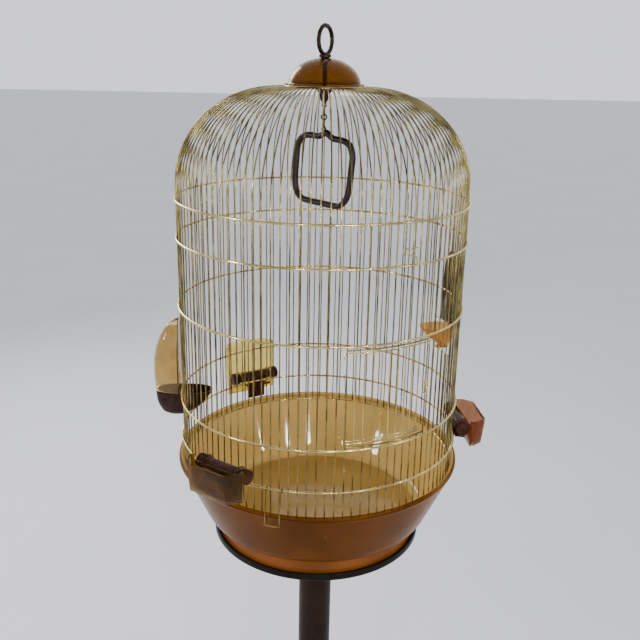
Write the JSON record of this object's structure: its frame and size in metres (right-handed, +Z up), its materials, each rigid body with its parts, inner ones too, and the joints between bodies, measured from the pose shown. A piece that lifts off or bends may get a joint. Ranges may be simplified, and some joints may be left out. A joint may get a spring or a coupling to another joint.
{
  "type": "bird cage on stand",
  "caption": "Round brass-wire bird cage with a domed top, sitting in a clear plastic bowl on a plate, a post and a weighted foot, with a door, cups, feeders and a swing.",
  "frame": {"origin": "on the floor, at the middle of the foot's felt underside", "axes": "+Z up the post; -Y towards the front of the cage, with the door to the right of the front"},
  "size_m": [0.4917, 0.4475, 1.5587],
  "materials": {
    "brass": "polished wire",
    "bronze_paint": "dark bronze gloss",
    "dark_metal": "darkened, satin",
    "steel": "plain",
    "amber": "clear amber",
    "copper_amber": "clear copper amber",
    "smoke_tan": "smoky tan, see-through",
    "brown_plastic": "dark brown gloss",
    "felt": "felt"
  },
  "bodies": {
    "stand": {"base_felt": "felt", "stand_base": "bronze_paint", "base_collar": "bronze_paint", "stand_post": "bronze_paint", "tie_rod": "steel", "rod_nut": "steel", "plate_flange": "bronze_paint", "stand_plate": "bronze_paint"},
    "bowl": {"bowl": "amber"},
    "cage": {"crown_plate": "dark_metal", "cup_bar_back_left": "brown_plastic", "cup_bar_front_left": "brown_plastic", "cup_bar_right": "brown_plastic", "dome_cap": "amber", "dome_wires_back_left": "brass", "dome_wires_back_right": "brass", "dome_wires_front": "brass", "dome_wires_front_left": "brass", "dome_wires_front_right": "brass", "dome_wires_left": "brass", "dome_wires_over_door": "brass", "dome_wires_right": "brass", "door_guide_coil": "brass", "door_hook": "brass", "hoop_1": "brass", "hoop_2": "brass", "hoop_3": "brass", "hoop_4": "brass", "hoop_5": "brass", "stem": "dark_metal", "swing_nut": "dark_metal", "wall_wires_above_door": "brass", "wall_wires_back_left": "brass", "wall_wires_back_right": "brass", "wall_wires_below_door": "brass", "wall_wires_front": "brass", "wall_wires_front_left": "brass", "wall_wires_front_right": "brass", "wall_wires_left": "brass", "wall_wires_right": "brass"},
    "hanging_ring": {"ring_nut": "dark_metal"},
    "chain_upper": {"swing_upper_link": "dark_metal"},
    "chain_ring": {"swing_ring": "brass"},
    "chain_lower": {"swing_lower_link": "dark_metal"},
    "swing": {"swing_frame": "brown_plastic"},
    "door": {"door_panel": "brass"},
    "clip_front": {"base_clip_front": "brass"},
    "clip_back": {"base_clip_back": "brass"},
    "cup_front_left": {"seed_cup_front_left": "copper_amber"},
    "cup_back_left": {"seed_cup_back_left": "copper_amber"},
    "cup_right": {"seed_cup_right": "copper_amber"},
    "left_feeder": {"left_feeder_cup": "brown_plastic"},
    "left_hood": {"left_feeder_hood": "smoke_tan"},
    "right_feeder": {"right_feeder_cup": "copper_amber", "right_feeder_plate": "brown_plastic"}
  },
  "joints": [
    {"name": "bowl_lift", "type": "slide", "parent": "stand", "child": "bowl", "axis": [0, 0, 1], "range_m": [0, 0.12]},
    {"name": "cage_lift", "type": "slide", "parent": "bowl", "child": "cage", "axis": [0, 0, 1], "range_m": [0, 0.12]},
    {"name": "ring_turn", "type": "hinge", "parent": "cage", "child": "hanging_ring", "pos_m": [0, 0, 1.515], "axis": [0, 0, 1], "continuous": true},
    {"name": "door_lift", "type": "slide", "parent": "cage", "child": "door", "axis": [0, 0, 1], "range_m": [0, 0.118]},
    {"name": "clip_front_swing", "type": "hinge", "parent": "cage", "child": "clip_front", "pos_m": [-0.05405, -0.19251, 0.9925], "axis": [-0.9628, 0.2703, 0], "range_deg": [0, 60]},
    {"name": "clip_back_swing", "type": "hinge", "parent": "cage", "child": "clip_back", "pos_m": [0.05405, 0.19251, 0.9925], "axis": [0.9628, -0.2703, 0], "range_deg": [0, 60]},
    {"name": "cup_front_left_lift", "type": "hinge", "parent": "cage", "child": "cup_front_left", "pos_m": [-0.11979, -0.1743, 1.011], "axis": [-0.8241, 0.5664, 0], "range_deg": [0, 45]},
    {"name": "cup_back_left_lift", "type": "hinge", "parent": "cage", "child": "cup_back_left", "pos_m": [-0.11114, 0.17995, 0.998], "axis": [0.8508, 0.5255, 0], "range_deg": [0, 16]},
    {"name": "cup_right_lift", "type": "hinge", "parent": "cage", "child": "cup_right", "pos_m": [0.21034, 0.02211, 0.998], "axis": [0.1045, -0.9945, 0], "range_deg": [0, 45]},
    {"name": "left_feeder_pull", "type": "slide", "parent": "cage", "child": "left_feeder", "axis": [-1, 0.007, 0], "range_m": [0, 0.05]},
    {"name": "left_hood_lift", "type": "slide", "parent": "left_feeder", "child": "left_hood", "axis": [0, 0, 1], "range_m": [0, 0.03]},
    {"name": "right_feeder_pull", "type": "slide", "parent": "cage", "child": "right_feeder", "axis": [0.9584, 0.2854, 0], "range_m": [0, 0.05]},
    {"name": "chain_upper_swing", "type": "hinge", "parent": "cage", "child": "chain_upper", "pos_m": [0, 0, 1.4562], "axis": [0, 1, 0], "range_deg": [-15, 15]},
    {"name": "chain_ring_swing", "type": "hinge", "parent": "chain_upper", "child": "chain_ring", "pos_m": [0, 0, 1.4449], "axis": [1, 0, 0], "range_deg": [-15, 15]},
    {"name": "chain_lower_swing", "type": "hinge", "parent": "chain_ring", "child": "chain_lower", "pos_m": [0, 0, 1.4399], "axis": [0, 1, 0], "range_deg": [-15, 15]},
    {"name": "swing_swing", "type": "hinge", "parent": "chain_lower", "child": "swing", "pos_m": [0, 0, 1.4292], "axis": [0.848, -0.5299, 0], "range_deg": [-30, 30]}
  ]
}
